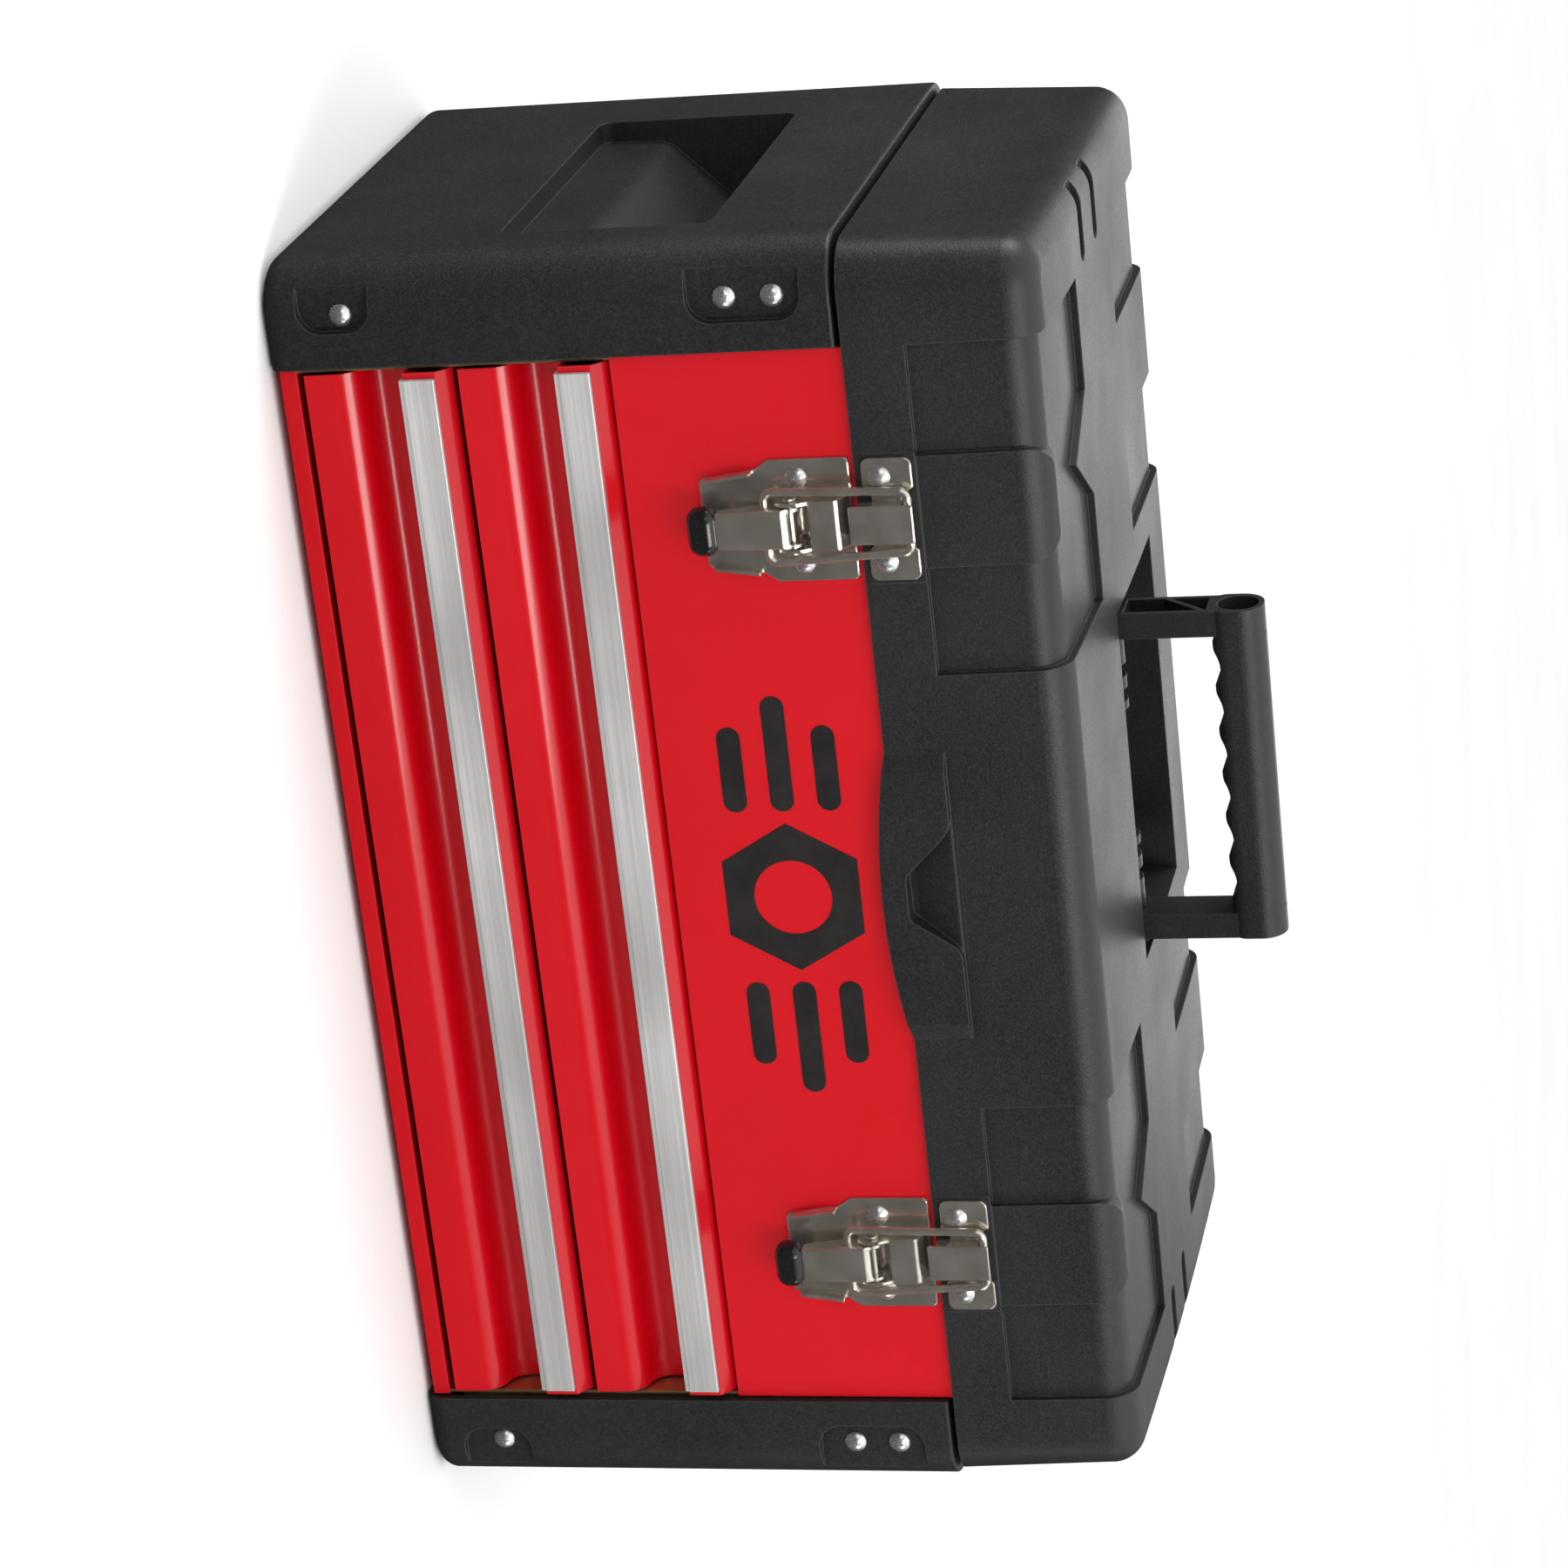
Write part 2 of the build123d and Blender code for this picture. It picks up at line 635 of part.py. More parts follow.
# ---- draw latches ----------------------------------------------------------------------
def latch_base(name, x):
    """Plate riveted to the panel: a humped channel holds the lever's pivot, and the lower part
    narrows between two turned-out edges."""
    face = -panel_face
    with BuildPart() as base:
        with BuildSketch(Plane.XZ.offset(panel_face)) as outline:
            with BuildLine():
                Polyline(
                    (x - latch_half, 213), (x - latch_half, 183), (x - 19.8, 178),
                    (x - 16.8, 157), (x + 16.8, 157), (x + 19.8, 178), (x + latch_half, 183),
                    (x + latch_half, 213), close=True,
                )
            make_face()
            fillet(outline.vertices(), 2)
        extrude(amount=sheet)
        with BuildSketch(Plane.YZ.offset(x - 9.4)):
            with BuildLine():
                Polyline(
                    (face - sheet, 212.4), (-127.6, 209), (-128.2, 208), (-128.2, 198),
                    (-130.2, 194.5), (-130.2, 188.5), (-128, 186), (face - sheet, 184), close=True,
                )
            make_face()
        extrude(amount=18.8)
        block((x - 8.2, x + 8.2), (-127.0, face - sheet), (180, 208.4), Mode.SUBTRACT)
        block((x - 8.2, x + 8.2), (-135, face - sheet), (180, 198), Mode.SUBTRACT)
        for side in (-1, 1):
            with BuildSketch(Plane.XY.offset(160)):
                with Locations((x + side * 16.6, face - 2.6)):
                    Rectangle(sheet, 5.2)
            with BuildSketch(Plane.XY.offset(177)):
                with Locations((x + side * 19.1, face - 2.6)):
                    Rectangle(sheet, 5.2)
            loft()
            rivet = (x + side * rivet_gap, face - 3, 193.0)
            rod(rivet, 4, 2.0, "Y", Mode.SUBTRACT)
        rod((x - 12, *lever_pivot), 24, pin_radius, "X", Mode.SUBTRACT)
    keep(base, name)


def latch_strike(name, x):
    """Catch plate on the lid: two riveted ears and a raised hook that the bail sits on."""
    back = -lid_face
    with BuildPart() as strike:
        with BuildSketch(Plane.XZ.offset(lid_face)) as outline:
            with BuildLine():
                Polyline(
                    (x - latch_half, 236.5), (x - latch_half, 218), (x - 12, 218), (x - 9, 221),
                    (x + 9, 221), (x + 12, 218), (x + latch_half, 218), (x + latch_half, 236.5),
                    (x + 12, 236.5), (x + 9, 232), (x - 9, 232), (x - 12, 236.5), close=True,
                )
            make_face()
            ears = outline.vertices().filter_by(lambda v: abs(v.X - x) > 20)
            fillet(ears, 3)
        extrude(amount=sheet)
        block((x - 7.3, x + 7.3), (-130.2, back - sheet), (213.2, 232.6))
        block((x - 7.3, x + 7.3), (-130.2, -129.0), (213.2, 236.8))
        block((x - 6.1, x + 6.1), (-129.0, back - sheet), (212, 231.4), Mode.SUBTRACT)
        block((x - 8, x + 8), (-129.0, -115), (212, 216.5), Mode.SUBTRACT)
        hook_edges = strike.edges().filter_by(Axis.Z).filter_by_position(Axis.Y, -130.3, -130.1)
        fillet(hook_edges, 0.8)
        for side in (-1, 1):
            rivet = (x + side * rivet_gap, back - 3, 224.3)
            rod(rivet, 4, 2.0, "Y", Mode.SUBTRACT)
    keep(strike, name)


def latch_lever(name, x):
    """Channel lever, rounded about its pivot, with a tongue for the plastic tip."""
    pivot_y, pivot_z = lever_pivot
    with BuildPart() as lever:
        with BuildSketch(Plane.YZ.offset(x - 7.5)):
            with BuildLine():
                Polyline(
                    (-131.4, 188.5), (-131.4, 164), (-126.6, 164), (-123.4, 176), (-122.2, 188),
                    (-122.2, 191), (-130.2, 191), close=True,
                )
            make_face()
            with Locations(lever_pivot):
                Circle(4.2)
        extrude(amount=15)
        for half, near, mode in ((7.5, -136, Mode.INTERSECT), (6.3, -130.2, Mode.SUBTRACT)):
            with BuildSketch(Plane.XZ.offset(-near)):
                with BuildLine():
                    Polyline(
                        (x - half, 200), (x - half, 184), (x - half + 0.7, 160),
                        (x + half - 0.7, 160), (x + half, 184), (x + half, 200), close=True,
                    )
                make_face()
            extrude(amount=-30, mode=mode)
        front_edges = lever.edges().filter_by(Axis.Z).filter_by_position(Axis.Y, -131.5, -131.3)
        fillet(front_edges, 0.9)
        block((x - 5, x + 5), (-131.0, -129.2), (155, 166))
        rod((x - 9, pivot_y, pivot_z), 18, pin_radius + running, "X", Mode.SUBTRACT)
        rod((x - 9, *bail_pivot), 18, wire_radius + running, "X", Mode.SUBTRACT)
    keep(lever, name)


def latch_tip(name, x):
    """Plastic finger tip pushed onto the lever's tongue."""
    with BuildPart() as tip:
        block((x - 9.3, x + 9.3), (-134.4, -123.6), (153.0, 163.9))
        fillet(tip.edges().filter_by(Axis.Z), 5.2)
        fillet(tip.edges().group_by(Axis.Z)[0], 5)
        fillet(tip.edges().group_by(Axis.Z)[-1], 3.5)
        block((x - 5.05, x + 5.05), (-131.05, -129.15), (154.9, 164), Mode.SUBTRACT)
    keep(tip, name)


def latch_bail(name, x):
    """Bent wire: its ends turn in to the lever and its crossbar lies behind the hook's lip."""
    foot_y, foot_z = bail_pivot
    with BuildPart() as bail:
        with BuildLine():
            wire = FilletPolyline(
                (x - 6.4, foot_y, foot_z),
                (x - 13.6, foot_y, foot_z),
                (x - 11.6, -126.2, 234.6),
                (x + 11.6, -126.2, 234.6),
                (x + 13.6, foot_y, foot_z),
                (x + 6.4, foot_y, foot_z),
                radius=3.2,
            )
        with BuildSketch(Plane(origin=wire @ 0, z_dir=wire % 0)):
            Circle(wire_radius)
        sweep()
    keep(bail, name)


for hand, side in (("left", -1), ("right", 1)):
    x = side * latch_x
    latch_base(f"latch_base_{hand}", x)
    latch_strike(f"latch_strike_{hand}", x)
    latch_lever(f"latch_lever_{hand}", x)
    latch_tip(f"latch_tip_{hand}", x)
    latch_bail(f"latch_bail_{hand}", x)
    with BuildPart() as pivot:
        rod((x - 10.4, *lever_pivot), 20.8, pin_radius, "X")
        for end in (x - 10.6, x + 9.6):
            rod((end, *lever_pivot), 1.0, 2.5, "X")
    keep(pivot, f"latch_pin_{hand}")

base_places = [
    (side * latch_x + shift, -panel_face - sheet, 193.0, -1)
    for side in (-1, 1)
    for shift in (-rivet_gap, rivet_gap)
]
strike_places = [
    (side * latch_x + shift, -lid_face - sheet, 224.3, -1)
    for side in (-1, 1)
    for shift in (-rivet_gap, rivet_gap)
]
rivets("latch_base_rivets", base_places, 4.2, 2.2, 1.95, 2 * sheet)
rivets("latch_strike_rivets", strike_places, 4.2, 2.2, 1.95, sheet + 2.4)


# ---- rear hinges -----------------------------------------------------------------------
def hinge_leaves(hand, x):
    """Body and lid leaves with interlocking barrels, and the pin through them."""
    axis_y, axis_z = hinge_axis
    barrel_start = (x - hinge_half, axis_y, axis_z)
    middle = (x - 12, x + 12)
    near_barrel = (axis_y - 4.4, axis_y + 4)
    with BuildPart() as body_leaf:
        with BuildSketch(Plane.YZ.offset(x - hinge_half)):
            with BuildLine():
                Polyline(
                    (panel_face, 190), (panel_face + sheet, 190), (panel_face + sheet, 207),
                    (axis_y + 1.2, 212.4), (axis_y - 1.2, 214.4), (panel_face, 208.2), close=True,
                )
            make_face()
        extrude(amount=2 * hinge_half)
        rod(barrel_start, 2 * hinge_half, barrel_radius, "X")
        block(middle, near_barrel, (axis_z - 5, axis_z + 4), Mode.SUBTRACT)
        rod(barrel_start, 2 * hinge_half, pin_radius, "X", Mode.SUBTRACT)
        for shift in (-20, 0, 20):
            rod((x + shift, panel_face - 1, 199.0), 4, 1.6, "Y", Mode.SUBTRACT)
    keep(body_leaf, f"hinge_body_leaf_{hand}")

    with BuildPart() as lid_leaf:
        block((x - hinge_half, x + hinge_half), (lid_face, lid_face + sheet), (217.6, 236))
        block((x - 11.7, x + 11.7), (lid_face, lid_face + sheet), (axis_z + 1.8, 217.6))
        web_top = axis_z + barrel_radius
        block((x - 11.7, x + 11.7), (lid_face, axis_y), (web_top - sheet, web_top))
        rod((x - 11.7, axis_y, axis_z), 23.4, barrel_radius, "X")
        rod((x - 11.7, axis_y, axis_z), 23.4, pin_radius + running, "X", Mode.SUBTRACT)
        for shift in (-20, 0, 20):
            rod((x + shift, lid_face - 1, 227.0), 4, 1.6, "Y", Mode.SUBTRACT)
    keep(lid_leaf, f"hinge_lid_leaf_{hand}")

    with BuildPart() as pin:
        rod((x - hinge_half - 1, axis_y, axis_z), 2 * hinge_half + 2, pin_radius, "X")
        for end in (x - hinge_half - 1.6, x + hinge_half + 0.4):
            rod((end, axis_y, axis_z), 1.2, 2.3, "X")
    keep(pin, f"hinge_pin_{hand}")


hinge_leaves("left", -hinge_x)
hinge_leaves("right", hinge_x)

body_places = [
    (side * hinge_x + shift, panel_face + sheet, 199.0, 1) for side in (-1, 1) for shift in (-20, 0, 20)
]
lid_places = [
    (side * hinge_x + shift, lid_face + sheet, 227.0, 1) for side in (-1, 1) for shift in (-20, 0, 20)
]
rivets("hinge_body_rivets", body_places, 3.2, 1.6, 1.55, 2 * sheet)
rivets("hinge_lid_rivets", lid_places, 3.2, 1.6, 1.55, sheet + 2.4)


# ---- lift-out tray ---------------------------------------------------------------------
with BuildPart() as tote_tray:
    with BuildSketch(Plane.XY.offset(tray_low)):
        RectangleRounded(2 * tray_half, 2 * tray_depth, 8)
    extrude(amount=tray_top - tray_low)
    with BuildSketch(Plane.XY.offset(tray_top - 2)):
        RectangleRounded(2 * 208.5, 2 * 113.5, 10)
    extrude(amount=2)
    with BuildSketch(Plane.XY.offset(tray_low + tray_wall)):
        RectangleRounded(2 * (tray_half - tray_wall), 2 * (tray_depth - tray_wall), 6)
    extrude(amount=tray_top, mode=Mode.SUBTRACT)
    # A spine along the middle carries the handle, and two webs part the front half.
    block((-tray_half + 1, tray_half - 1), (-1.2, 1.2), (tray_low + 1, tray_top - 2))
    for x in (-68, 68):
        block((x - 1, x + 1), (-tray_depth + 1, 0), (tray_low + 1, tray_top - 6))
    for x in (-62, 62):
        block((x - 4, x + 4), (-6, 6), (tray_low + 1, tray_top + 6))
    with BuildSketch(Plane.YZ.offset(-66)):
        with Locations((0, tray_top + 5)):
            RectangleRounded(16, 10, 4.5)
    extrude(amount=132)
    block((-50, 50), (-9, 9), (tray_top - 12, tray_top + 3), Mode.SUBTRACT)
keep(tote_tray, "tote_tray")


# ---- plain printed mark on the front panel ---------------------------------------------
mark_z = 174.0
mark_ink = 0.25

with BuildPart() as front_mark:
    with BuildSketch(Plane.XZ.offset(panel_face)):
        with Locations((0, mark_z)):
            RegularPolygon(30, 6)
            Circle(15, mode=Mode.SUBTRACT)
        for side in (-1, 1):
            for row, length in ((18, 34), (0, 46), (-18, 34)):
                with Locations((side * (35 + length / 2), mark_z + row)):
                    RectangleRounded(length, 9, 4.4)
    extrude(amount=mark_ink)
keep(front_mark, "front_mark")
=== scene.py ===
import json
import math

import bpy
from mathutils import Matrix, Vector

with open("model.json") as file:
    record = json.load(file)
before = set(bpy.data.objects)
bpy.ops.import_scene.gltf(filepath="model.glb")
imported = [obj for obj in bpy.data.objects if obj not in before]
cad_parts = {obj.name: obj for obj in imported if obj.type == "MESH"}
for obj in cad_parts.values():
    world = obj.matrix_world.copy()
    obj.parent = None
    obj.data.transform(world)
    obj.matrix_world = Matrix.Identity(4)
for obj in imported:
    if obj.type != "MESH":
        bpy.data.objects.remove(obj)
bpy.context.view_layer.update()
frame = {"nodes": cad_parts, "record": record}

# Lengths are in metres, colours linear, light powers in watts. Noise scales are per metre.

# ---- camera -------------------------------------------------------------------------------
AZIMUTH = math.radians(-22.11)
ELEVATION = math.radians(13.18)
ROLL = math.radians(-1.29)
DISTANCE = 1.90012
TARGET = Vector((0.002469, 0.0, 0.145281))
LENS_MM = 109.12
SENSOR_MM = 36.0


def aim_camera():
    """The view is turned a quarter, so the object's up points to the right of the picture."""
    back = Vector((math.sin(AZIMUTH) * math.cos(ELEVATION),
                   -math.cos(AZIMUTH) * math.cos(ELEVATION), math.sin(ELEVATION)))
    right = (-back).cross(Vector((0, 0, 1))).normalized()
    up = right.cross(-back)
    image_right = -math.sin(ROLL) * right + math.cos(ROLL) * up
    image_up = -(math.cos(ROLL) * right + math.sin(ROLL) * up)
    data = bpy.data.cameras.new("camera")
    data.lens = LENS_MM
    data.sensor_width = SENSOR_MM
    camera = bpy.data.objects.new("camera", data)
    bpy.context.scene.collection.objects.link(camera)
    turn = Matrix((image_right, image_up, back)).transposed().to_4x4()
    camera.matrix_world = Matrix.Translation(TARGET + back * DISTANCE) @ turn
    bpy.context.scene.camera = camera


# ---- material building blocks -------------------------------------------------------------
# Most of a noise texture's values lie in this span.
NOISE_SPAN = (0.3, 0.7)
FULL_SPAN = (0.0, 1.0)
BEVEL_SAMPLES = 4

# Painted edge highlight: how far from an edge it reaches, and how far the rounded normal has to turn away.
EDGE_HIGHLIGHT_REACH = 0.0009
EDGE_HIGHLIGHT_SPAN = (0.99, 0.8)


def even(value):
    """The same value on all three axes or channels."""
    return (value, value, value)


def scaled(colour, factor):
    return tuple(min(1.0, channel * factor) for channel in colour)


def fill_ramp(ramp, stops):
    """Gives a colour ramp its (position, (r, g, b)) stops."""
    while len(ramp.elements) < len(stops):
        ramp.elements.new(0.5)
    for element, (position, colour) in zip(ramp.elements, stops):
        element.position = position
        element.color = (*colour, 1.0)


class Surface:
    """A Principled material whose colour, roughness and relief come from procedural nodes."""

    def __init__(self, name, metallic=0.0, specular=0.5, coat=0.0, coat_roughness=0.05):
        self.material = bpy.data.materials.new(name)
        self.material.use_nodes = True
        self.tree = self.material.node_tree
        self.tree.nodes.clear()
        self.shader = self.add("ShaderNodeBsdfPrincipled")
        output = self.add("ShaderNodeOutputMaterial")
        self.join(self.shader.outputs["BSDF"], output.inputs["Surface"])
        self.shader.inputs["Metallic"].default_value = metallic
        self.shader.inputs["Specular IOR Level"].default_value = specular
        self.shader.inputs["Coat Weight"].default_value = coat
        self.shader.inputs["Coat Roughness"].default_value = coat_roughness
        self.place = self.add("ShaderNodeTexCoord").outputs["Object"]

    def add(self, kind, **values):
        node = self.tree.nodes.new(kind)
        for key, value in values.items():
            setattr(node, key, value)
        return node

    def join(self, source, target):
        self.tree.links.new(source, target)

    def stretched(self, scale):
        """Object coordinates multiplied per axis."""
        mapping = self.add("ShaderNodeMapping")
        self.join(self.place, mapping.inputs["Vector"])
        mapping.inputs["Scale"].default_value = scale
        return mapping.outputs["Vector"]

    def noise(self, scale, detail=4.0, roughness=0.55):
        node = self.add("ShaderNodeTexNoise")
        self.join(self.stretched(scale), node.inputs["Vector"])
        node.inputs["Scale"].default_value = 1.0
        node.inputs["Detail"].default_value = detail
        node.inputs["Roughness"].default_value = roughness
        return node.outputs["Fac"]

    def cells(self, scale):
        node = self.add("ShaderNodeTexVoronoi")
        self.join(self.stretched(scale), node.inputs["Vector"])
        node.inputs["Scale"].default_value = 1.0
        return node.outputs["Distance"]

    def remap(self, source, span, result):
        """Takes the source's span to the result's (low, high), and clamps outside it."""
        node = self.add("ShaderNodeMapRange")
        self.join(source, node.inputs["Value"])
        for key, value in zip(("From Min", "From Max", "To Min", "To Max"), (*span, *result)):
            node.inputs[key].default_value = value
        return node.outputs["Result"]

    def times(self, source, factor):
        node = self.add("ShaderNodeMath", operation="MULTIPLY")
        self.join(source, node.inputs[0])
        node.inputs[1].default_value = factor
        return node.outputs["Value"]

    def plus(self, first, second):
        node = self.add("ShaderNodeMath", operation="ADD")
        self.join(first, node.inputs[0])
        self.join(second, node.inputs[1])
        return node.outputs["Value"]

    def colours(self, source, *stops):
        """Colour ramp through (position, (r, g, b)) stops."""
        node = self.add("ShaderNodeValToRGB")
        self.join(source, node.inputs["Fac"])
        fill_ramp(node.color_ramp, stops)
        return node.outputs["Color"]

    def tinted(self, factor, under, colour):
        """Covers the under colour with one plain colour, as far as the factor says."""
        node = self.add("ShaderNodeMix", data_type="RGBA")
        self.join(factor, node.inputs["Factor"])
        lower, upper = [socket for socket in node.inputs if socket.type == "RGBA"]
        self.join(under, lower)
        upper.default_value = (*colour, 1.0)
        return next(socket for socket in node.outputs if socket.type == "RGBA")

    def bevel(self, radius):
        """The normal as it would be on edges rounded to this radius."""
        node = self.add("ShaderNodeBevel", samples=BEVEL_SAMPLES)
        node.inputs["Radius"].default_value = radius
        return node.outputs["Normal"]

    def edges(self, reach=EDGE_HIGHLIGHT_REACH):
        """Mask that rises along edges, for a painted highlight there: the rounded normal turns away."""
        agreement = self.add("ShaderNodeVectorMath", operation="DOT_PRODUCT")
        self.join(self.bevel(reach), agreement.inputs[0])
        self.join(self.add("ShaderNodeNewGeometry").outputs["Normal"], agreement.inputs[1])
        return self.remap(agreement.outputs["Value"], EDGE_HIGHLIGHT_SPAN, FULL_SPAN)

    def relief(self, *layers, edge_radius):
        """Bump from (height, strength, depth) layers over softly rounded edges."""
        normal = self.bevel(edge_radius)
        for height, strength, depth in layers:
            bump = self.add("ShaderNodeBump")
            bump.inputs["Strength"].default_value = strength
            bump.inputs["Distance"].default_value = depth
            self.join(height, bump.inputs["Height"])
            self.join(normal, bump.inputs["Normal"])
            normal = bump.outputs["Normal"]
        self.join(normal, self.shader.inputs["Normal"])

    def finish(self, colour, roughness):
        self.join(colour, self.shader.inputs["Base Color"])
        self.join(roughness, self.shader.inputs["Roughness"])
        return self.material


# ---- materials ----------------------------------------------------------------------------
def moulded_plastic(name, dark, light, grain=1100.0, gloss=(0.36, 0.48), depth=0.00018,
                    specular=0.38):
    """Fine spark-eroded grain, cloudy sheen and a painted highlight along the edges."""
    s = Surface(name, specular=specular)
    pits = s.noise(even(grain), detail=3.0, roughness=0.6)
    clouds = s.noise(even(14.0), detail=5.0)
    flow = s.noise((4.0, 9.0, 40.0), detail=3.0)
    dust = s.noise(even(260.0), detail=6.0, roughness=0.75)
    tone = s.plus(s.times(clouds, 0.6), s.times(flow, 0.4))
    body = s.colours(tone, (0.32, dark), (0.68, light))
    speckled = s.tinted(s.remap(pits, (0.42, 0.72), (0.0, 0.4)), body, scaled(light, 2.4))
    dusty = s.tinted(s.remap(dust, (0.56, 0.8), (0.0, 0.35)), speckled, scaled(light, 3.0))
    # Edges painted lighter, as a highlight.
    colour = s.tinted(s.times(s.edges(), 0.5), dusty, scaled(light, 5.5))
    sheen = s.plus(s.remap(clouds, NOISE_SPAN, gloss), s.remap(pits, NOISE_SPAN, (-0.05, 0.07)))
    s.relief((clouds, 0.12, 0.0008), (pits, 0.6, depth), edge_radius=0.0007)
    return s.finish(colour, sheen)


def red_enamel(name):
    """Stoved gloss enamel with faint orange peel and dust."""
    s = Surface(name, specular=0.2, coat=0.5, coat_roughness=0.13)
    peel = s.noise(even(420.0), detail=2.0, roughness=0.5)
    drift = s.noise(even(9.0))
    specks = s.noise(even(700.0), detail=5.0, roughness=0.8)
    body = s.colours(drift, (0.3, (0.515, 0.0008, 0.006)), (0.7, (0.55, 0.0014, 0.0085)))
    dusty = s.tinted(s.remap(specks, (0.72, 0.9), (0.0, 0.15)), body, (0.65, 0.03, 0.035))
    # Edges painted a lighter red, as a highlight.
    colour = s.tinted(s.times(s.edges(), 0.35), dusty, (0.8, 0.05, 0.06))
    gloss = s.remap(s.noise(even(60.0), detail=6.0), NOISE_SPAN, (0.28, 0.33))
    s.relief((peel, 0.05, 0.0003), edge_radius=0.0008)
    return s.finish(colour, gloss)


def brushed_metal(name, dark, light):
    """Fine parallel scratches along the x axis, with broader streaks and darker patches of painted shade
    for the uneven reflection.
    """
    s = Surface(name, metallic=0.4)
    fine = s.noise((6.0, 700.0, 700.0), detail=6.0, roughness=0.7)
    broad = s.noise((1.32, 154.0, 154.0), detail=3.0)
    tone = s.plus(s.times(fine, 0.55), s.times(broad, 0.45))
    streaks = s.colours(tone, (0.32, dark), (0.68, light))
    # Darker patches painted in as shade, for the uneven reflection along the pull.
    painted_shade = s.remap(s.noise(even(7.0), detail=3.0), (0.35, 0.62), (0.0, 0.6))
    colour = s.tinted(painted_shade, streaks, scaled(dark, 0.72))
    s.relief((fine, 0.25, 0.00006), edge_radius=0.0004)
    return s.finish(colour, s.remap(tone, NOISE_SPAN, (0.3, 0.46)))


def plated_steel(name, dark, light, gloss, spangle=90.0):
    """Barrel-plated steel: bright, a little wavy, with soft clouding and fine marks."""
    s = Surface(name, metallic=0.9)
    waves = s.noise(even(spangle))
    marks = s.noise((1600.0, 500.0, 1600.0), detail=3.0, roughness=0.7)
    body = s.colours(waves, (0.3, dark), (0.7, light))
    # Edges painted brighter, as a highlight on the rims.
    colour = s.tinted(s.times(s.edges(reach=0.0006), 0.7), body, scaled(light, 1.25))
    s.relief((waves, 0.3, 0.0008), (marks, 0.12, 0.00004), edge_radius=0.0011)
    return s.finish(colour, s.remap(marks, NOISE_SPAN, gloss))


def foam_mat(name):
    """Dark closed foam with open pores on its skin."""
    s = Surface(name, specular=0.3)
    pores = s.cells(even(900.0))
    clouds = s.noise(even(40.0))
    colour = s.colours(clouds, (0.3, (0.018, 0.018, 0.02)), (0.7, (0.035, 0.035, 0.037)))
    s.relief((pores, 0.7, 0.0004), edge_radius=0.0005)
    return s.finish(colour, s.remap(clouds, NOISE_SPAN, (0.8, 0.95)))


def printed_ink(name):
    """Thin black ink, slightly mottled and worn."""
    s = Surface(name, specular=0.45)
    mottling = s.noise(even(500.0))
    worn = s.noise(even(70.0), detail=6.0, roughness=0.7)
    colour = s.colours(worn, (0.3, (0.012, 0.011, 0.011)), (0.75, (0.024, 0.02, 0.02)))
    s.relief((mottling, 0.1, 0.0001), edge_radius=0.0001)
    return s.finish(colour, s.remap(mottling, NOISE_SPAN, (0.3, 0.45)))


def floor_paint(name):
    """Matt white studio floor."""
    s = Surface(name, specular=0.2)
    clouds = s.noise(even(3.0))
    colour = s.colours(clouds, (0.3, even(0.91)), (0.7, even(0.94)))
    s.relief((clouds, 0.05, 0.001), edge_radius=0.001)
    return s.finish(colour, s.remap(clouds, NOISE_SPAN, (0.6, 0.7)))


SLOT_MATERIALS = {
    "red_paint": red_enamel("red_enamel"),
    "zinc_steel": plated_steel("yellow_zinc", (0.42, 0.29, 0.13), (0.58, 0.43, 0.22), gloss=(0.28, 0.42)),
    "black_plastic": moulded_plastic("black_moulding", (0.0105, 0.0108, 0.0112),
                                     (0.0155, 0.0158, 0.0162)),
    "tray_plastic": moulded_plastic("tray_moulding", (0.022, 0.0225, 0.0235), (0.03, 0.0305, 0.032),
                                    grain=900.0),
    "pull_aluminium": brushed_metal("pull_aluminium", (0.5, 0.5, 0.49), (0.97, 0.97, 0.96)),
    "slide_steel": plated_steel("bright_zinc", (0.5, 0.51, 0.53), (0.68, 0.69, 0.7), gloss=(0.22, 0.36)),
    "latch_nickel": plated_steel("satin_nickel", (0.6, 0.55, 0.47), (0.84, 0.79, 0.71), gloss=(0.1, 0.22)),
    "rivet_steel": plated_steel("rivet_steel", even(0.62), even(0.82), gloss=(0.16, 0.3), spangle=400.0),
    "hinge_steel": plated_steel("hinge_zinc", even(0.42), even(0.6), gloss=(0.25, 0.4)),
    "tip_plastic": moulded_plastic("tip_gloss", (0.006, 0.006, 0.0065), (0.01, 0.01, 0.0105),
                                   grain=900.0, gloss=(0.12, 0.2), depth=0.00003, specular=0.45),
    "foam_liner": foam_mat("foam_mat"),
    "mark_print": printed_ink("black_ink"),
}


def dress_frame():
    """Every CAD node takes the material of its record slot."""
    for entry in frame["record"]["subparts"]:
        for slot in frame["nodes"][entry["node"]].material_slots:
            slot.link = "OBJECT"
            slot.material = SLOT_MATERIALS[entry["material_slot"]]


# ---- stage --------------------------------------------------------------------------------
FLOOR_SIZE = 60.0
# The floor lies a hair under the feet, so that the two faces never share a plane.
FLOOR_HEIGHT = -0.0005

# Brightness of the studio against the upward part of the direction: dim at the horizon, bright
# overhead.
SKY_LEVELS = ((0.0, 0.03), (0.2, 0.1), (0.55, 0.55), (1.0, 0.95))
SKY_STRENGTH = 1.75

LIGHTS_AIM = Vector((0.0, 0.0, 0.15))
# name, place, (width, height), power
SOFT_BOXES = (
    ("bend_box", (0.43, -1.5, 1.4), (0.34, 1.2), 13.0),
    ("right_box", (2.0, -1.1, 0.5), (0.5, 0.8), 6.0),
    ("front_box", (-1.5, -2.0, 0.9), (0.7, 0.7), 3.5),
    ("left_box", (-2.2, 0.5, 0.7), (0.9, 0.9), 34.0),
    ("back_strip", (0.3, 1.9, 0.75), (1.6, 0.35), 5.0),
)


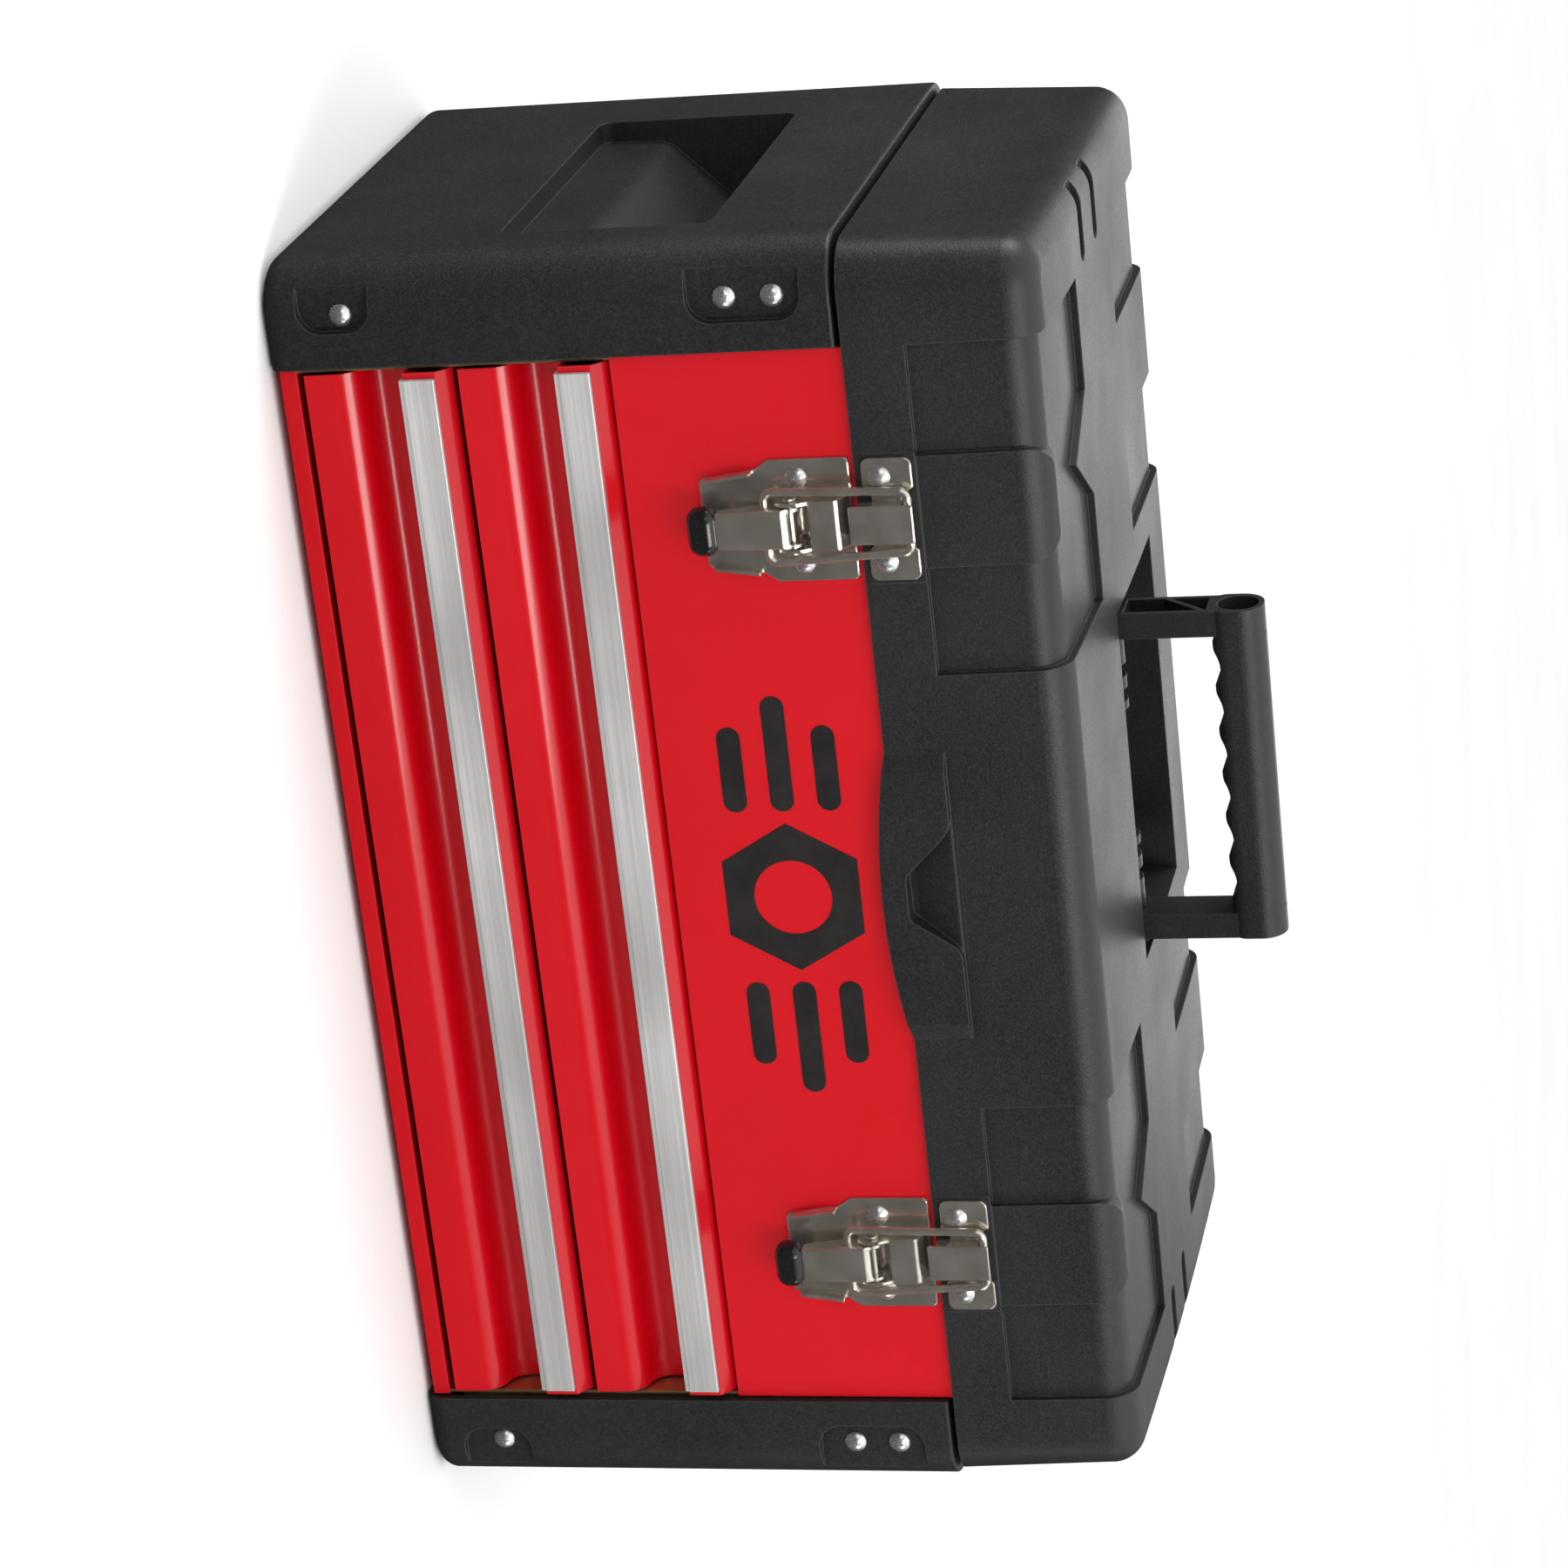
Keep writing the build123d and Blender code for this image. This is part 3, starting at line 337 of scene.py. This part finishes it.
def make_floor():
    """White floor, kept out of mirror-like reflections so that no bright band shows on the object."""
    bpy.ops.mesh.primitive_plane_add(size=FLOOR_SIZE, location=(0, 0, FLOOR_HEIGHT))
    floor = bpy.context.object
    floor.name = "floor"
    floor.visible_glossy = False
    floor.data.materials.append(floor_paint("floor_paint"))


def soft_light(name, place, size, power):
    data = bpy.data.lights.new(name, "AREA")
    data.shape = "RECTANGLE"
    data.size, data.size_y = size
    data.energy = power
    lamp = bpy.data.objects.new(name, data)
    bpy.context.scene.collection.objects.link(lamp)
    lamp.location = place
    lamp.rotation_mode = "QUATERNION"
    lamp.rotation_quaternion = (LIGHTS_AIM - Vector(place)).to_track_quat("-Z", "Y")


def studio_world():
    """Bright overhead and dim towards the horizon, with a plain white backdrop for the camera."""
    world = bpy.data.worlds.new("studio")
    world.use_nodes = True
    tree = world.node_tree
    studio = tree.nodes["Background"]
    place = tree.nodes.new("ShaderNodeTexCoord")
    split = tree.nodes.new("ShaderNodeSeparateXYZ")
    ramp = tree.nodes.new("ShaderNodeValToRGB")
    fill_ramp(ramp.color_ramp, [(height, even(level)) for height, level in SKY_LEVELS])
    tree.links.new(place.outputs["Generated"], split.inputs["Vector"])
    tree.links.new(split.outputs["Z"], ramp.inputs["Fac"])
    tree.links.new(ramp.outputs["Color"], studio.inputs["Color"])
    studio.inputs["Strength"].default_value = SKY_STRENGTH
    # Only camera rays that pass the floor's far edge reach the backdrop.
    backdrop = tree.nodes.new("ShaderNodeBackground")
    backdrop.inputs["Color"].default_value = (*even(1.0), 1.0)
    chooser = tree.nodes.new("ShaderNodeMixShader")
    rays = tree.nodes.new("ShaderNodeLightPath")
    tree.links.new(rays.outputs["Is Camera Ray"], chooser.inputs["Fac"])
    tree.links.new(studio.outputs["Background"], chooser.inputs[1])
    tree.links.new(backdrop.outputs["Background"], chooser.inputs[2])
    tree.links.new(chooser.outputs["Shader"], tree.nodes["World Output"].inputs["Surface"])
    bpy.context.scene.world = world


def light_stage():
    studio_world()
    for box in SOFT_BOXES:
        soft_light(*box)
    bpy.context.scene.view_settings.view_transform = "Standard"


dress_frame()
make_floor()
light_stage()
aim_camera()
